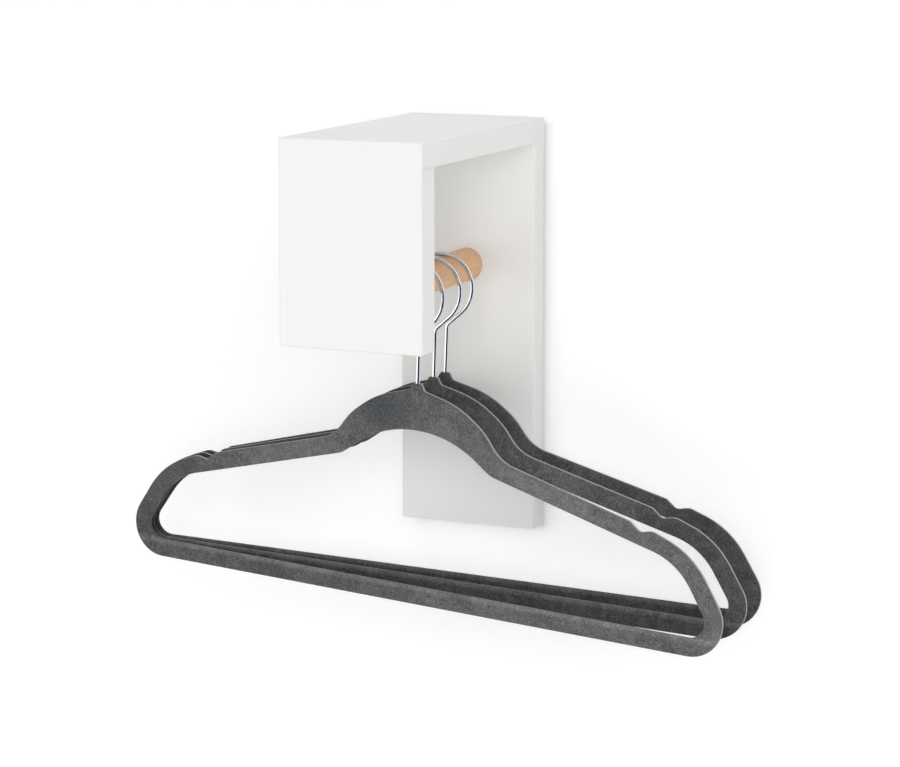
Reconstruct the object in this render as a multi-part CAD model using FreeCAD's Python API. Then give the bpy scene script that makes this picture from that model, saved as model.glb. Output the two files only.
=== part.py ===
import FreeCAD, Part
import math
import os

Vector = FreeCAD.Vector
Rotation = FreeCAD.Rotation

# A narrow wall rack: a back board, a short shelf on it and a front board under the shelf.
# A round rod runs from the back board to the front board, and hangers hang on it.
# Millimetres. X runs to the right, Y into the wall, Z up.
# The origin is the centre of the back board's rear face, on the wall.

# Boards
rack_height = 280.0
rack_width = 97.6
rack_depth = 203.0
front_height = 131.0
shelf_thickness = 16.4
front_thickness = 19.0
back_thickness = 17.4
edge_bevel = 0.7
seam_bevel = 0.4

# Rod
rod_diameter = 22.0
rod_below_top = 100.0
rod_socket = 8.0
rod_end_gap = 0.3
joint_gap = 0.05

# Dowels between shelf and front board
dowel_diameter = 8.0
dowel_length = 28.0
dowel_in_shelf = 10.0
dowel_from_side = 18.5

# Countersunk screws driven from the rear
screw_diameter = 4.0
screw_head_diameter = 8.0
screw_sink = 0.4
screw_hole_gap = 0.2
shelf_screw_length = 45.0
shelf_screw_from_side = 18.5
rod_screw_length = 35.0

# Keyhole slots routed in the rear face, for wall screws
keyhole_from_end = 50.0
keyhole_entry_diameter = 9.5
keyhole_slot_width = 4.8
keyhole_travel = 12.0
keyhole_lip = 4.0
keyhole_depth = 10.0
overcut = 1.0

# How much of a side its two fillets may take
side_used = 0.98

# Hanger frame: heights are up from its bar's underside, drops are down from its top
hanger_width = 446.0
hanger_height = 148.2
hanger_thickness = 4.5
band = 12.2
bar_height = 12.2
rim_bevel = 1.0
neck_drop = 31.5

# The knob on the neck, at the hanger's middle
knob_width = 6.3
knob_corner_radius = 2.0
knob_foot_width = 11.2
knob_foot_drop = 4.8
knob_foot_radius = 3.0

# The arch beside the neck, by its corners
crown_reach = 31.3
crown_drop = 11.5
crown_radius = 64.0
brow_reach = 50.4
brow_drop = 25.85
brow_radius = 50.0
foot_reach = 63.4
foot_drop = 43.4
foot_radius = 28.0
arch_inner_flat = 1.2
arch_inner_angle = 36.5
arch_inner_radius = 76.0
foot_inner_radius = 18.0

# The strap notch and the hump outside it
notch_from_end = 66.2
notch_height = 80.1
notch_corner_radius = 3.0
notch_width = 7.0
notch_depth = 6.0
notch_radius = 5.0
hump_width = 8.6
hump_height = 1.9
hump_radius = 9.0

# The hanger's ends
hump_angle = 20.8
shoulder_end_radius = 56.0
shoulder_inner_radius = 44.0
end_angle = 58.0
end_radius = 22.9

# Hook wire, with flats that stand for its roundness along the bow
wire_diameter = 2.8
wire_flats = 8
bow_radius = 22.0
bow_tip_angle = 205.0
bow_end_angle = 46.9
stem_offset = 5.2
bend_radius = 6.0
hook_reach = 57.1
hook_rod_gap = 0.1

# The hook's headed end, turning in the neck
neck_top_diameter = 7.6
neck_taper_length = 24.0
swivel_gap = 0.08
head_diameter = 4.4
head_thickness = 1.2
head_drop = 8.0
head_end_gap = 0.1
head_side_gap = 0.2
head_chamber = 1.8

# Where the hangers hang on the rod, measured out from the wall, and their turn seen from above
front_hanger_place = 107.0
middle_hanger_place = 81.0
rear_hanger_place = 62.0
hanger_turns = (-6.3, -1.1, 2.3)

# Grams per cubic centimetre, for the way that a hanger balances on the rod
wire_density = 7.85
frame_density = 1.1

top = rack_height / 2
shelf_under = top - shelf_thickness
front_face = -rack_depth
front_rear = -rack_depth + front_thickness
back_front = -back_thickness
rod_z = top - rod_below_top
wire_radius = wire_diameter / 2
bow_z = rod_z + rod_diameter / 2 + wire_radius + hook_rod_gap - bow_radius


def block(x0, x1, y0, y1, z0, z1):
    return Part.makeBox(x1 - x0, y1 - y0, z1 - z0, Vector(x0, y0, z0))


def cylinder_y(radius, x, z, y0, y1):
    return Part.makeCylinder(radius, y1 - y0, Vector(x, y0, z), Vector(0, 1, 0))


def cylinder_z(radius, x, y, z0, z1):
    return Part.makeCylinder(radius, z1 - z0, Vector(x, y, z0))


def eased(solid, bevel, wanted):
    """Break the sharp edges whose middle passes the test."""
    edges = [edge for edge in solid.Edges if wanted(edge.CenterOfMass)]
    return solid.makeChamfer(bevel, edges)


def near(value, target):
    return abs(value - target) < 0.01


def screw(diameter, head_diameter, length, x, z, rear, grow=0.0, sink=0.0):
    """Countersunk screw along Y, its head at the rear; grow and sink make its hole."""
    r = diameter / 2 + grow
    head = head_diameter / 2 + grow
    cone = head_diameter / 2 - diameter / 2
    tip = length + grow
    profile = [(0, sink), (head + sink, sink), (r, -cone), (r, -tip), (0, -tip)]
    points = [Vector(x + a, rear + b, z) for a, b in profile]
    face = Part.Face(Part.makePolygon(points + points[:1]))
    return face.revolve(Vector(x, rear, z), Vector(0, 1, 0), 360)


def stadium(width, z_low, z_high, y0, y1):
    """Upright slot with round ends, its arc centres at z_low and z_high."""
    r = width / 2
    ends = cylinder_y(r, 0, z_low, y0, y1).fuse(cylinder_y(r, 0, z_high, y0, y1))
    return ends.fuse(block(-r, r, y0, y1, z_low, z_high)).removeSplitter()


def shelf_screws(grow=0.0, sink=0.0):
    return [
        screw(screw_diameter, screw_head_diameter, shelf_screw_length,
              side * (rack_width / 2 - shelf_screw_from_side), top - shelf_thickness / 2,
              -screw_sink, grow, sink)
        for side in (-1, 1)
    ]


def rod_screw(grow=0.0, sink=0.0):
    return screw(screw_diameter, screw_head_diameter, rod_screw_length, 0, rod_z,
                 -screw_sink, grow, sink)


def front_dowel(side, grow=0.0):
    z0 = shelf_under + dowel_in_shelf - dowel_length
    y = front_face + front_thickness / 2
    x = side * (rack_width / 2 - dowel_from_side)
    return cylinder_z(dowel_diameter / 2 + grow, x, y, z0 - grow, z0 + dowel_length + grow)


def rod_cylinder(grow=0.0, end_gap=0.0):
    rear_end = back_front + rod_socket
    front_end = front_rear - rod_socket + rod_end_gap - end_gap
    return cylinder_y(rod_diameter / 2 + grow, 0, rod_z, front_end, rear_end)


def keyhole(z):
    """A round entry with a narrow slot above it, undercut for a screw's head."""
    entry_z = z - keyhole_travel / 2
    slot_end = z + keyhole_travel / 2
    entry = cylinder_y(keyhole_entry_diameter / 2, 0, entry_z, -keyhole_depth, overcut)
    slot = stadium(keyhole_slot_width, entry_z, slot_end, -keyhole_depth, overcut)
    undercut = stadium(keyhole_entry_diameter, entry_z, slot_end, -keyhole_depth, -keyhole_lip)
    return entry.fuse([slot, undercut]).removeSplitter()


def back_board():
    solid = block(-rack_width / 2, rack_width / 2, back_front, 0, -top, top)
    solid = eased(solid, edge_bevel, lambda c: not near(c.z, top) or near(c.y, 0))
    solid = solid.cut(rod_cylinder(joint_gap))
    solid = solid.cut(rod_screw(screw_hole_gap, screw_sink + overcut))
    for hole in shelf_screws(screw_hole_gap, screw_sink + overcut):
        solid = solid.cut(hole)
    for z in (top - keyhole_from_end, -top + keyhole_from_end):
        solid = solid.cut(keyhole(z))
    return solid


def top_board():
    solid = block(-rack_width / 2, rack_width / 2, front_face, back_front, shelf_under, top)
    solid = eased(solid, edge_bevel,
                  lambda c: near(c.y, front_face) and not near(c.z, shelf_under)
                  or near(c.z, top) and near(abs(c.x), rack_width / 2))
    solid = eased(solid, seam_bevel,
                  lambda c: near(c.z, shelf_under) and near(abs(c.x), rack_width / 2))
    for hole in shelf_screws(joint_gap):
        solid = solid.cut(hole)
    for side in (-1, 1):
        solid = solid.cut(front_dowel(side, joint_gap))
    return solid


def front_board():
    low = top - front_height
    solid = block(-rack_width / 2, rack_width / 2, front_face, front_rear, low, shelf_under)
    solid = eased(solid, edge_bevel, lambda c: not near(c.z, shelf_under))
    solid = solid.cut(rod_cylinder(joint_gap, rod_end_gap))
    for side in (-1, 1):
        solid = solid.cut(front_dowel(side, joint_gap))
    return solid


def rod():
    return rod_cylinder().cut(rod_screw(joint_gap))


def line_at(point, degrees):
    angle = math.radians(degrees)
    return point, (math.cos(angle), math.sin(angle))


def meet(first, second):
    """Where two lines cross, each given as a point and a direction."""
    (px, py), (ux, uy) = first
    (qx, qy), (vx, vy) = second
    t = ((qx - px) * vy - (qy - py) * vx) / (ux * vy - uy * vx)
    return px + ux * t, py + uy * t


def shifted(line, distance):
    """The line moved to its right-hand side."""
    (px, py), (ux, uy) = line
    return (px + uy * distance, py - ux * distance), (ux, uy)


def rounded_outline(corners):
    """Closed wire in the XZ plane through corners (x, z, radius), with tangent arcs.

    An arc takes its radius, or less where its two sides are too short for it.
    """
    count = len(corners)
    points = [Vector(x, 0, z) for x, z, _ in corners]
    ways = [(points[(i + 1) % count] - points[i]) for i in range(count)]
    halves = [ways[i].getAngle(ways[i - 1] * -1) / 2 for i in range(count)]
    wanted = [corners[i][2] / math.tan(halves[i]) for i in range(count)]
    room = [way.Length / (wanted[i] + wanted[(i + 1) % count]) for i, way in enumerate(ways)]
    shares = [min(1.0, side_used * room[i - 1], side_used * room[i]) for i in range(count)]
    reaches = [wanted[i] * shares[i] for i in range(count)]
    edges = []
    ends = []
    for i in range(count):
        before = (ways[i - 1] * -1).normalize()
        after = Vector(ways[i]).normalize()
        start = points[i] + before * reaches[i]
        end = points[i] + after * reaches[i]
        nearest = reaches[i] * (1 - math.sin(halves[i])) / math.cos(halves[i])
        middle = points[i] + (before + after).normalize() * nearest
        edges.append(Part.Arc(start, middle, end).toShape())
        ends.append((start, end))
    for i in range(count):
        edges.append(Part.makeLine(ends[i - 1][1], ends[i][0]))
    return Part.Wire(Part.__sortEdges__(edges))


def both_sides(right_half):
    left_half = [(-x, z, r) for x, z, r in reversed(right_half)]
    return right_half + left_half


def shoulder_line():
    """From the arch's foot to the strap notch, and its direction."""
    x = foot_reach
    z = hanger_height - foot_drop
    along = hanger_width / 2 - notch_from_end - x
    up = notch_height - z
    length = math.hypot(along, up)
    return (x, z), (along / length, up / length)


def end_line():
    """The straight slope down to the hanger's end, touching the end's arc."""
    angle = math.radians(end_angle)
    centre_x = hanger_width / 2 - end_radius
    touch = (centre_x + end_radius * math.sin(angle), end_radius * (1 + math.cos(angle)))
    return line_at(touch, -end_angle)


def hanger_outer():
    top_z = hanger_height
    notch_x = hanger_width / 2 - notch_from_end
    floor = (notch_x + notch_width, notch_height - notch_depth)
    hump = (floor[0] + hump_width, floor[1] + hump_height)
    end = end_line()
    corners = [
        (knob_width / 2, top_z, knob_corner_radius),
        (knob_foot_width / 2, top_z - knob_foot_drop, knob_foot_radius),
        (crown_reach, top_z - crown_drop, crown_radius),
        (brow_reach, top_z - brow_drop, brow_radius),
        (foot_reach, top_z - foot_drop, foot_radius),
        (notch_x, notch_height, notch_corner_radius),
        floor + (notch_radius,),
        hump + (hump_radius,),
        meet(line_at(hump, -hump_angle), end) + (shoulder_end_radius,),
        meet(end, line_at((0, 0), 0)) + (end_radius,),
    ]
    return rounded_outline(both_sides(corners))


def hanger_inner():
    inner_shoulder = shifted(shoulder_line(), band)
    inner_end = shifted(end_line(), band)
    reach = arch_inner_flat / 2 + arch_inner_radius * math.tan(math.radians(arch_inner_angle / 2))
    apex = (reach, hanger_height - neck_drop)
    inner_foot = meet(line_at(apex, -arch_inner_angle), inner_shoulder)
    corners = [
        apex + (arch_inner_radius,),
        inner_foot + (foot_inner_radius,),
        meet(inner_shoulder, inner_end) + (shoulder_inner_radius,),
        meet(inner_end, line_at((0, bar_height), 0)) + (end_radius - band,),
    ]
    return rounded_outline(both_sides(corners))


def hanger_frame():
    """The flat frame, bevelled round its outside, with a swelling neck, standing on its bar."""
    half = hanger_thickness / 2
    outside = Part.Face(hanger_outer())
    outside.translate(Vector(0, -half, 0))
    solid = outside.extrude(Vector(0, hanger_thickness, 0))
    rims = [edge for edge in solid.Edges if near(abs(edge.CenterOfMass.y), half)]
    solid = solid.makeChamfer(rim_bevel, rims)
    inside = Part.Face(hanger_inner())
    inside.translate(Vector(0, -hanger_thickness, 0))
    solid = solid.cut(inside.extrude(Vector(0, hanger_thickness * 2, 0)))
    foot = Vector(0, 0, hanger_height - neck_taper_length)
    neck = Part.makeCone(half, neck_top_diameter / 2, neck_taper_length, foot)
    return solid.fuse(neck)


def hanger_body():
    """The frame with the turning hook's bore, in the hook's own frame."""
    ceiling = hanger_height - head_drop
    bore = cylinder_z(wire_radius + swivel_gap, 0, 0, ceiling, hanger_height + overcut)
    chamber = cylinder_z(head_diameter / 2 + head_side_gap, 0, 0, ceiling - head_chamber, ceiling)
    solid = hanger_frame().cut(bore.fuse(chamber))
    solid.translate(Vector(stem_offset, 0, -hook_reach - hanger_height))
    return solid


def wire_section(at, outward):
    """The wire's section across the hook's plane, as a face with flats."""
    sideways = Vector(0, 1, 0)
    turns = [i * 2 * math.pi / wire_flats for i in range(wire_flats)]
    points = [at + (outward * math.cos(t) + sideways * math.sin(t)) * wire_radius for t in turns]
    return Part.Face(Part.makePolygon(points + points[:1]))


def hanger_hook():
    """The wire hook, its bow centred on the origin, its stem pointing down."""
    centre = Vector(0, 0, 0)
    plane = Vector(0, 1, 0)
    tip = math.radians(bow_tip_angle)
    tip_way = Vector(math.cos(tip), 0, math.sin(tip))
    leave_angle = math.radians(-bow_end_angle)
    leave_way = Vector(math.cos(leave_angle), 0, math.sin(leave_angle))
    leave = leave_way * bow_radius
    slope = line_at((leave.x, leave.z), -bow_end_angle - 90)
    corner_x, corner_z = meet(slope, line_at((stem_offset, 0), 90))
    corner = Vector(corner_x, 0, corner_z)
    turn = bow_end_angle
    bend_reach = bend_radius * math.tan(math.radians(turn / 2))
    bend_start = corner + (leave - corner).normalize() * bend_reach
    bend_centre = bend_start + leave_way * bend_radius
    bend_end = corner - Vector(0, 0, bend_reach)
    head_top = -hook_reach - head_drop - head_end_gap
    bow = wire_section(tip_way * bow_radius, tip_way)
    bow = bow.revolve(centre, plane, bow_tip_angle + bow_end_angle)
    run = wire_section(leave, leave_way).extrude(bend_start - leave)
    bend = wire_section(bend_start, leave_way).revolve(bend_centre, plane * -1, turn)
    stem = cylinder_z(wire_radius, stem_offset, 0, head_top - head_thickness / 2, bend_end.z)
    head = cylinder_z(head_diameter / 2, stem_offset, 0, head_top - head_thickness, head_top)
    return bow.fuse([run, bend, stem, head]).removeSplitter()


def hang_roll(hook, body):
    """The tilt at which the hanger's weight lies straight below its bow's centre."""
    weights = ((hook, wire_density), (body, frame_density))
    moment_x = sum(solid.Volume * density * solid.CenterOfGravity.x for solid, density in weights)
    moment_z = sum(solid.Volume * density * solid.CenterOfGravity.z for solid, density in weights)
    return math.degrees(math.atan2(moment_x, -moment_z))


def hung(solid, place, turn, roll):
    """Move a piece from the hook's own frame onto the rod."""
    rotation = Rotation(Vector(0, 0, 1), turn).multiply(Rotation(Vector(0, 1, 0), roll))
    placement = FreeCAD.Placement(Vector(0, -place, bow_z), rotation)
    return solid.transformed(placement.toMatrix())


def all_nodes():
    nodes = {
        "back_board": back_board(),
        "top_board": top_board(),
        "front_board": front_board(),
        "rod": rod(),
        "rod_screw": rod_screw(),
    }
    for side, solid in zip(("left", "right"), shelf_screws()):
        nodes["shelf_screw_" + side] = solid
    for side, sign in (("left", -1), ("right", 1)):
        nodes["front_dowel_" + side] = front_dowel(sign)
    hook = hanger_hook()
    body = hanger_body()
    roll = hang_roll(hook, body)
    print("hangers tilt %.3f degrees" % roll)
    places = (front_hanger_place, middle_hanger_place, rear_hanger_place)
    for number, (place, turn) in enumerate(zip(places, hanger_turns), 1):
        nodes["hanger_hook_%d" % number] = hung(hook, place, turn, roll)
        nodes["hanger_body_%d" % number] = hung(body, place, turn, roll)
    return nodes


os.makedirs("parts", exist_ok=True)
for name, solid in all_nodes().items():
    solid.exportStep("parts/" + name + ".step")
    print(name, len(solid.Solids), "solid", "valid" if solid.isValid() else "NOT VALID",
          "%.1f cubic centimetres" % (solid.Volume / 1000))
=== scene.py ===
import math

import bpy
import numpy as np
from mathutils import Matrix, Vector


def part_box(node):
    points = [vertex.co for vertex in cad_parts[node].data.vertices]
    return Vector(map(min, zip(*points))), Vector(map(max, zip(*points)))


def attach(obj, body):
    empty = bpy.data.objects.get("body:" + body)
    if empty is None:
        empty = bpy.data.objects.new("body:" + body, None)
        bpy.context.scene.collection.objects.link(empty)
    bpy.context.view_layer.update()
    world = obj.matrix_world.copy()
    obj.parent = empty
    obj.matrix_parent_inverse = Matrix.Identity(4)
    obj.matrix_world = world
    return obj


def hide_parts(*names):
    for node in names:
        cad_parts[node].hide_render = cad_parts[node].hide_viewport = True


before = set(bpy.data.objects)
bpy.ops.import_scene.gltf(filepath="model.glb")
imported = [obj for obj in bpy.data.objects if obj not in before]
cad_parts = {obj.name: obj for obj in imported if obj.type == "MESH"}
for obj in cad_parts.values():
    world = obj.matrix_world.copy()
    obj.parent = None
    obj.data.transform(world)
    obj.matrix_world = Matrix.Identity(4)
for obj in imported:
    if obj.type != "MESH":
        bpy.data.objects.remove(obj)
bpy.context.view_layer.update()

bl_info = {
    "name": "Wall coat rack",
    "version": (1, 0, 0),
    "blender": (4, 5, 0),
    "location": "View3D > Sidebar > Coat rack",
    "description": "A white wall coat rack with a beech rod and three flocked hangers",
    "category": "Object",
}

MM = 0.001


# Sizes and colours


class RackSizes(bpy.types.PropertyGroup):
    rod_diameter: bpy.props.FloatProperty(
        name="Rod diameter", description="Thickness of the beech rod",
        default=0.022, unit="LENGTH")
    rod_height: bpy.props.FloatProperty(
        name="Rod height", description="Height of the rod's axis over the rack's middle",
        default=0.040, unit="LENGTH")
    screw_head: bpy.props.FloatProperty(
        name="Screw head", description="Diameter of a countersunk screw's head",
        default=0.008, unit="LENGTH")
    screw_shank: bpy.props.FloatProperty(
        name="Screw thread", description="Outside diameter of a screw's thread",
        default=0.004, unit="LENGTH")


class HangerSizes(bpy.types.PropertyGroup):
    width: bpy.props.FloatProperty(
        name="Width", description="Hanger's width from end to end",
        default=0.446, unit="LENGTH")
    height: bpy.props.FloatProperty(
        name="Height", description="From the bar's underside to the knob's top",
        default=0.1482, unit="LENGTH")
    thickness: bpy.props.FloatProperty(
        name="Thickness", description="Thickness of the moulded frame",
        default=0.0045, unit="LENGTH")
    band: bpy.props.FloatProperty(
        name="Band", description="Width of the frame's shoulders and ends",
        default=0.0122, unit="LENGTH")
    rim: bpy.props.FloatProperty(
        name="Rim rounding", description="Radius of the rounded rims",
        default=0.0020, unit="LENGTH")
    knob: bpy.props.FloatProperty(
        name="Knob", description="Diameter of the neck at the knob's top",
        default=0.0076, unit="LENGTH")
    tilt: bpy.props.FloatProperty(
        name="Tilt", description="How far the hanger's weight tilts it on the rod",
        default=math.radians(2.116), subtype="ANGLE")


class HookSizes(bpy.types.PropertyGroup):
    wire: bpy.props.FloatProperty(
        name="Wire diameter", description="Thickness of the hook's wire",
        default=0.0028, unit="LENGTH")
    bow_radius: bpy.props.FloatProperty(
        name="Bow radius", description="Radius of the bow's middle line",
        default=0.022, unit="LENGTH")
    stem_offset: bpy.props.FloatProperty(
        name="Stem offset", description="From below the bow's centre to the stem",
        default=0.0052, unit="LENGTH")
    reach: bpy.props.FloatProperty(
        name="Reach", description="From the bow's centre down to the knob's top",
        default=0.0571, unit="LENGTH")
    head: bpy.props.FloatProperty(
        name="Head", description="Diameter of the stem's head inside the neck",
        default=0.0044, unit="LENGTH")


class FinishColours(bpy.types.PropertyGroup):
    lacquer: bpy.props.FloatVectorProperty(
        name="Lacquer", description="White lacquer of the boards",
        subtype="COLOR", size=3, min=0, max=1, default=(0.885, 0.885, 0.870))
    beech: bpy.props.FloatVectorProperty(
        name="Beech", description="Wood of the rod",
        subtype="COLOR", size=3, min=0, max=1, default=(0.84, 0.495, 0.277))
    velvet: bpy.props.FloatVectorProperty(
        name="Velvet", description="Flock of the hangers",
        subtype="COLOR", size=3, min=0, max=1, default=(0.128, 0.128, 0.130))
    chrome: bpy.props.FloatVectorProperty(
        name="Chrome", description="Plating of the hooks",
        subtype="COLOR", size=3, min=0, max=1, default=(0.70, 0.74, 0.79))
    steel: bpy.props.FloatVectorProperty(
        name="Steel", description="Screws",
        subtype="COLOR", size=3, min=0, max=1, default=(0.60, 0.59, 0.57))


class StudioSettings(bpy.types.PropertyGroup):
    lens: bpy.props.FloatProperty(
        name="Lens", description="Focal length of the camera in millimetres",
        default=108.0)
    heading: bpy.props.FloatProperty(
        name="Heading", description="How far the camera stands to the right",
        default=math.radians(23.28), subtype="ANGLE")
    pitch: bpy.props.FloatProperty(
        name="Pitch", description="How far the camera looks down",
        default=math.radians(8.15), subtype="ANGLE")
    place: bpy.props.FloatVectorProperty(
        name="Camera place", description="Where the camera stands",
        subtype="TRANSLATION", size=3, default=(0.7061, -1.6883, 0.2918))
    shift: bpy.props.FloatProperty(
        name="Shift", description="Camera's shift in the photograph's height",
        default=-0.12)
    front_power: bpy.props.FloatProperty(
        name="Front light", description="Power of the large lamp over the camera",
        default=42.5, unit="POWER")
    low_power: bpy.props.FloatProperty(
        name="Low light", description="Power of the lamp under the camera",
        default=22.0, unit="POWER")
    left_power: bpy.props.FloatProperty(
        name="Left light", description="Power of the lamp low at the left",
        default=15.5, unit="POWER")
    right_power: bpy.props.FloatProperty(
        name="Right light", description="Power of the lamp at the right",
        default=7.0, unit="POWER")
    top_power: bpy.props.FloatProperty(
        name="Top light", description="Power of the lamp above",
        default=17.0, unit="POWER")
    rear_power: bpy.props.FloatProperty(
        name="Rear light", description="Power of the lamp behind the wall",
        default=42.0, unit="POWER")
    room: bpy.props.FloatProperty(
        name="Room light", description="Strength of the light from all round",
        default=0.15)
    floor_drop: bpy.props.FloatProperty(
        name="Floor", description="How far the floor lies below the rack's middle",
        default=0.75, unit="LENGTH")


GROUPS = {
    "rack_sizes": RackSizes,
    "hanger_sizes": HangerSizes,
    "hook_sizes": HookSizes,
    "finish_colours": FinishColours,
    "studio": StudioSettings,
}


def settings(name):
    """One of the groups of sizes and colours, by its name in GROUPS."""
    return getattr(bpy.context.scene, name)


# Shader maths


class Value:
    """A node's output socket; the operators on it add Math nodes.

    A colour can be scaled by a plain value, and Paint.mix puts two colours together.
    """

    def __init__(self, nodes, socket, vector=False):
        self.nodes = nodes
        self.socket = socket
        self.vector = vector

    def maths(self, operation, *terms):
        """Adds the operation's Math node on plain values."""
        return self.nodes.node("ShaderNodeMath", {"operation": operation},
                               dict(enumerate(terms)))

    def __add__(self, other):
        return self.maths("ADD", self, other)

    def __radd__(self, other):
        return self.maths("ADD", other, self)

    def __sub__(self, other):
        return self.maths("SUBTRACT", self, other)

    def __rsub__(self, other):
        return self.maths("SUBTRACT", other, self)

    def __mul__(self, other):
        if self.vector:
            return self.nodes.node("ShaderNodeVectorMath", {"operation": "SCALE"},
                                   {0: self, "Scale": other}, vector=True)
        return self.maths("MULTIPLY", self, other)

    def __rmul__(self, other):
        return self * other

    def __rpow__(self, other):
        return self.maths("POWER", other, self)

    def clamped(self, low, high):
        """The value, held between two numbers."""
        return self.maths("MAXIMUM", self.maths("MINIMUM", self, high), low)


class Nodes:
    """A node tree under construction, of a material or of the world."""

    def __init__(self, tree):
        self.tree = tree

    def node(self, kind, sets=None, values=None, output=0, vector=False):
        """Adds a node, makes its settings, then sets or links its sockets."""
        made = self.tree.nodes.new(kind)
        for name, value in (sets or {}).items():
            setattr(made, name, value)
        for name, value in (values or {}).items():
            self.feed(made.inputs[name], value)
        return Value(self, made.outputs[output], vector)

    def feed(self, socket, value):
        """Links a value to a socket, or sets the socket to a number or a colour."""
        if isinstance(value, Value):
            self.tree.links.new(value.socket, socket)
        elif socket.type == "RGBA" and len(value) == 3:
            socket.default_value = (*value, 1)
        else:
            socket.default_value = value

    def seen(self):
        """1 for a ray from the camera, in gloss or through glass, and 0 for any other."""
        rays = [self.node("ShaderNodeLightPath", output=f"Is {kind} Ray")
                for kind in ("Camera", "Glossy", "Transmission")]
        return (rays[0] + rays[1] + rays[2]).clamped(0, 1)


class Paint(Nodes):
    """A material under construction: its Principled shader and the nodes that feed it."""

    def __init__(self, name, **constants):
        self.material = bpy.data.materials.new(name)
        self.material.use_nodes = True
        super().__init__(self.material.node_tree)
        self.shader = self.tree.nodes["Principled BSDF"]
        for socket, value in constants.items():
            self.shader.inputs[socket.replace("_", " ")].default_value = value

    def places(self):
        """Object coordinates, which are metres in the frame."""
        return self.node("ShaderNodeTexCoord", output="Object", vector=True)

    def stretched(self, places, scale):
        """Places scaled along each axis; below 1 a pattern on them is drawn out."""
        return self.node("ShaderNodeMapping", {"vector_type": "POINT"},
                         {"Vector": places, "Scale": scale}, vector=True)

    def noise(self, places, scale, detail=2.0, roughness=0.5, distortion=0.0):
        """Smooth noise of about 0 to 1, with scale patches in a metre."""
        return self.node("ShaderNodeTexNoise", {"noise_dimensions": "3D"}, {
            "Vector": places, "Scale": scale, "Detail": detail,
            "Roughness": roughness, "Distortion": distortion})

    def step(self, value, low, high):
        """0 below low, 1 above high, and smooth between them."""
        return self.node("ShaderNodeMapRange", {"interpolation_type": "SMOOTHSTEP"}, {
            "Value": value, "From Min": low, "From Max": high})

    def mix(self, amount, first, second):
        """The first colour at an amount of 0 and the second at 1."""
        return self.node("ShaderNodeMix", {"data_type": "RGBA", "blend_type": "MIX"},
                         {0: amount, 6: first, 7: second}, output=2, vector=True)

    def attribute(self, name):
        """A number that the mesh carries at each point."""
        return self.node("ShaderNodeAttribute", {"attribute_name": name}, output="Fac")

    def axis(self, places, letter):
        """One coordinate of places."""
        return self.node("ShaderNodeSeparateXYZ", {}, {0: places}, output=letter)

    def bump(self, height, distance):
        """Raises the surface by a height of 0 to 1 times a distance in metres."""
        made = self.node("ShaderNodeBump", {}, {
            "Height": height, "Distance": distance, "Strength": 1.0})
        self.feed(self.shader.inputs["Normal"], made)

    def put(self, **values):
        """Feeds the shader's own sockets and gives the material."""
        for name, value in values.items():
            self.feed(self.shader.inputs[name.replace("_", " ")], value)
        return self.material


# Painted shade: how much darker each hanger's flock is painted, front to rear
PAINTED_HANGER_SHADE = (1.0, 0.76, 0.69)


def colour(name):
    """A finish's colour as plain numbers."""
    return tuple(getattr(settings("finish_colours"), name))


def toned(base, factor):
    """A colour made lighter or darker by a factor."""
    return tuple(min(1.0, channel * factor) for channel in base)


def lacquer_paint():
    """Sprayed lacquer: a fine orange peel, faint clouds of tone and gloss."""
    paint = Paint("sprayed_white_lacquer", Coat_Weight=0.12, Coat_Roughness=0.28)
    places = paint.places()
    base = colour("lacquer")
    clouds = paint.noise(places, 14.0, 3.0)
    peel = paint.noise(places, 900.0, 2.0, 0.55)
    dust = paint.step(paint.noise(places, 2600.0, 1.0), 0.70, 0.78)
    tone = paint.mix(clouds, toned(base, 0.975), toned(base, 1.015))
    tone = paint.mix(dust * 0.12, tone, toned(base, 0.82))
    paint.bump(peel + clouds * 0.6, 0.00003)
    return paint.put(Base_Color=tone, Roughness=0.40 + 0.10 * paint.noise(places, 60.0, 3.0))


def wood_paint(name, base):
    """Beech: fine long grain along Y, short darker flecks and slow bands of tone."""
    paint = Paint(name, Coat_Weight=0.06, Coat_Roughness=0.4)
    places = paint.places()
    rings = paint.noise(paint.stretched(places, (1, 0.05, 1)), 190.0, 4.0, 0.6, 0.5)
    grain = paint.noise(paint.stretched(places, (1, 0.035, 1)), 1500.0, 3.0, 0.65)
    flecks = paint.noise(paint.stretched(places, (1, 0.16, 1)), 1300.0, 1.0)
    flecks = paint.step(flecks, 0.63, 0.72)
    clouds = paint.noise(places, 45.0, 2.0)
    tone = paint.mix(paint.step(rings, 0.3, 0.7), toned(base, 0.90), toned(base, 1.07))
    tone = paint.mix(clouds * 0.5, tone, toned(base, 1.10))
    tone = paint.mix(paint.step(grain, 0.45, 0.8) * 0.35, tone, toned(base, 0.72))
    tone = paint.mix(flecks * 0.45, tone, toned(base, 0.55))
    paint.bump(grain * 0.6 - flecks * 0.4, 0.00006)
    return paint.put(Base_Color=tone, Roughness=0.46 + 0.14 * grain)


def chrome_paint():
    """Bright plating with drawing lines too fine to see singly and faint handling marks."""
    paint = Paint("bright_plated_wire", Metallic=1.0)
    places = paint.places()
    base = colour("chrome")
    marks = paint.noise(places, 260.0, 3.0)
    tone = paint.mix(marks, toned(base, 0.93), toned(base, 1.05))
    paint.bump(paint.noise(paint.stretched(places, (1, 1, 0.15)), 2200.0, 2.0), 0.000006)
    return paint.put(Base_Color=tone, Roughness=0.035 + 0.05 * paint.step(marks, 0.4, 0.75))


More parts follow.
